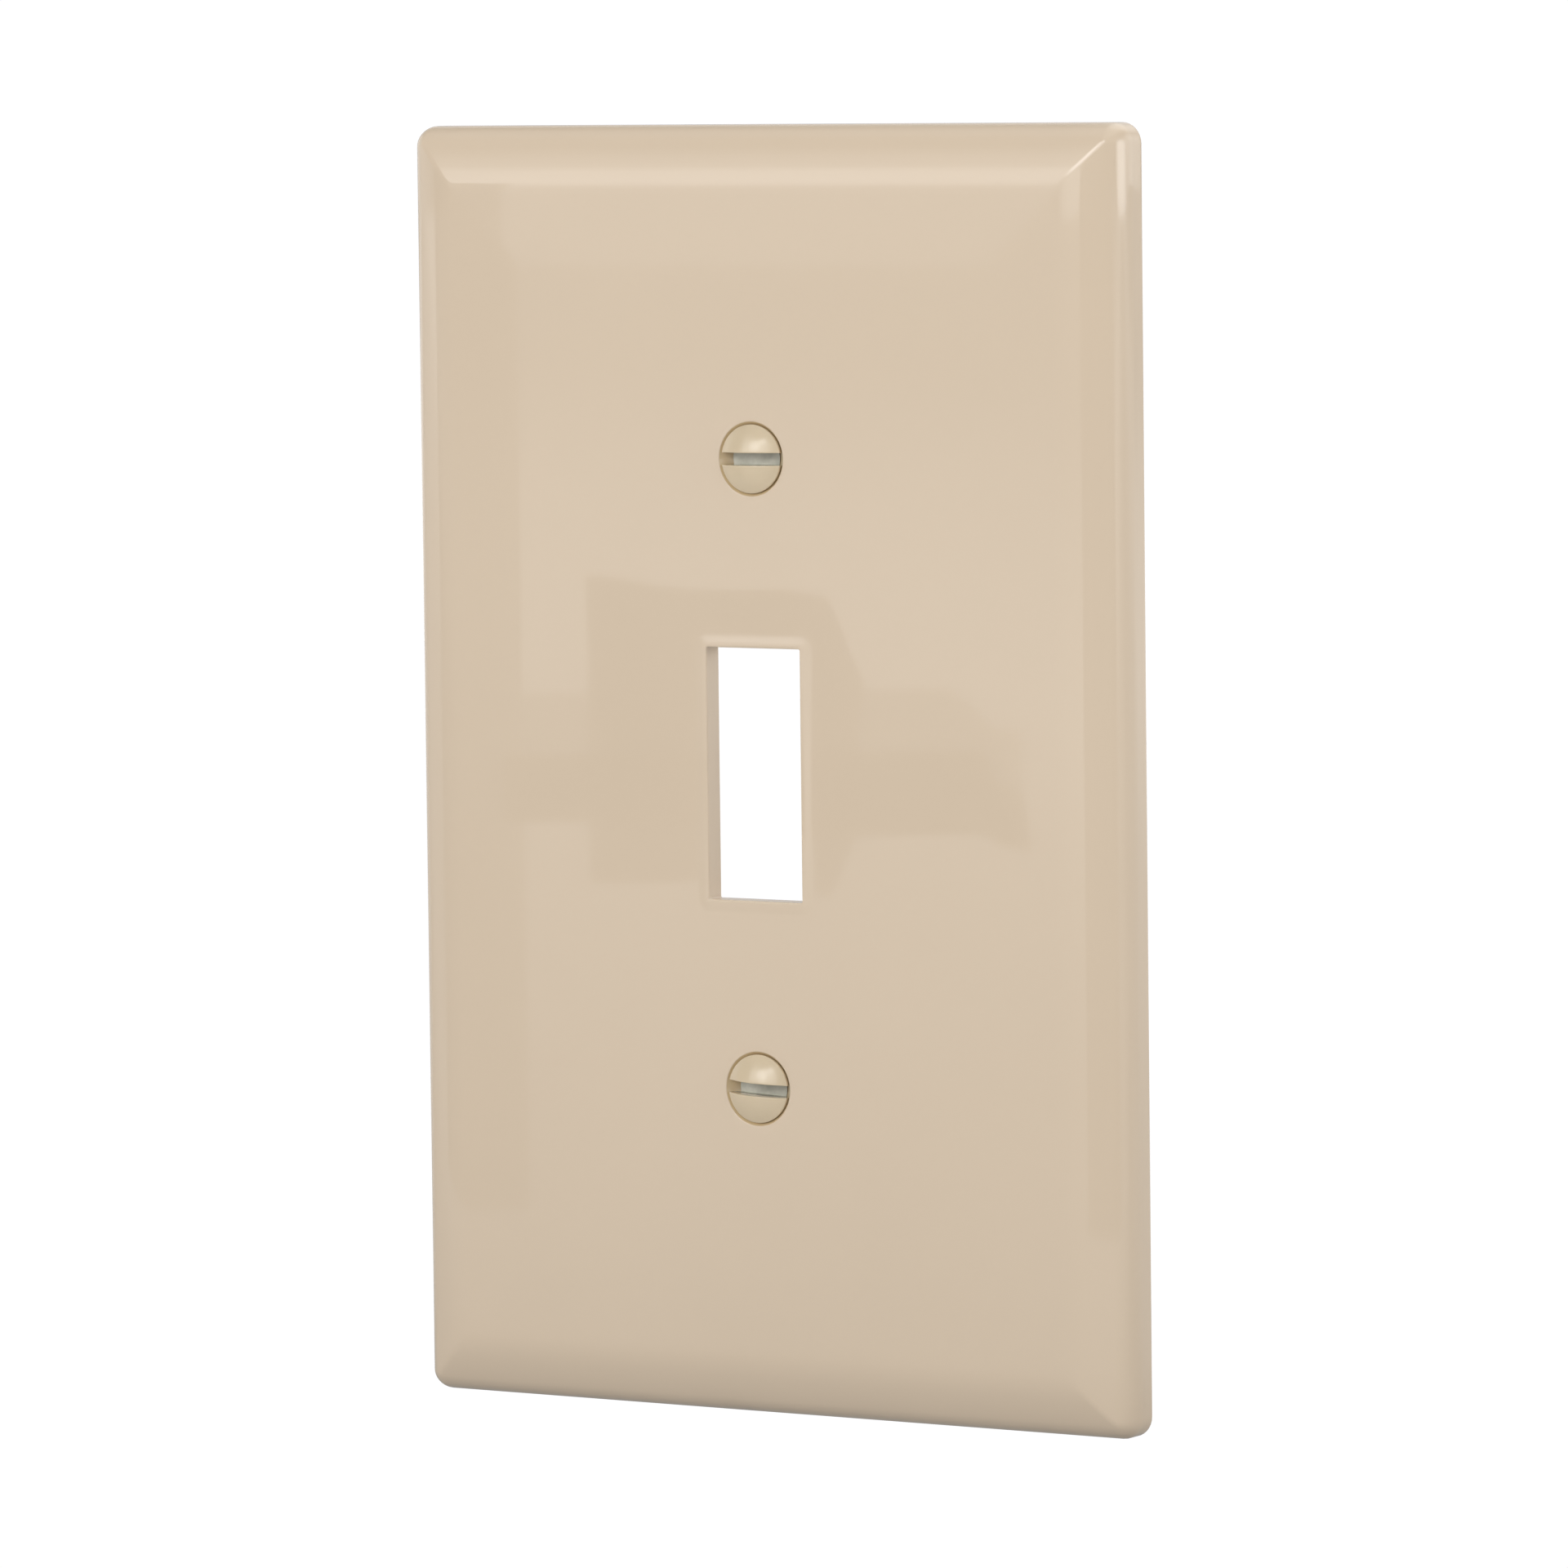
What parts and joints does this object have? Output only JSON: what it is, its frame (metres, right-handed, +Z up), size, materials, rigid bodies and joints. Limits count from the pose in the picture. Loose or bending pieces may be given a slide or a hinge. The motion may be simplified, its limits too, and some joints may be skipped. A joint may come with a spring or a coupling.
{
  "type": "toggle switch wall plate",
  "caption": "Mid-size ivory wall plate for one toggle switch, with a mitred bevel round its edge and its oval-head slotted screws in their seats.",
  "frame": {"origin": "middle of the plate's back, in the plane that lies on the wall, halfway between the two screws", "axes": "+X to the right across the plate, +Y into the wall along the screws, +Z up the plate; the face looks along -Y"},
  "size_m": [0.0794, 0.0141, 0.1238],
  "materials": {
    "ivory_plastic": "smooth moulded ivory nylon with a soft gloss",
    "painted_screw": "ivory enamel on zinc-plated steel, bare in the slot and on the thread"
  },
  "bodies": {
    "plate": {"wall_plate": "ivory_plastic"},
    "upper_fastener": {"upper_screw": "painted_screw"},
    "lower_fastener": {"lower_screw": "painted_screw"}
  },
  "joints": [
    {"name": "upper_screw_turn", "type": "hinge", "parent": "plate", "child": "upper_fastener", "pos_m": [0, 0, 0.03015], "axis": [0, 1, 0], "continuous": true},
    {"name": "lower_screw_turn", "type": "hinge", "parent": "plate", "child": "lower_fastener", "pos_m": [0, 0, -0.03015], "axis": [0, 1, 0], "continuous": true}
  ]
}
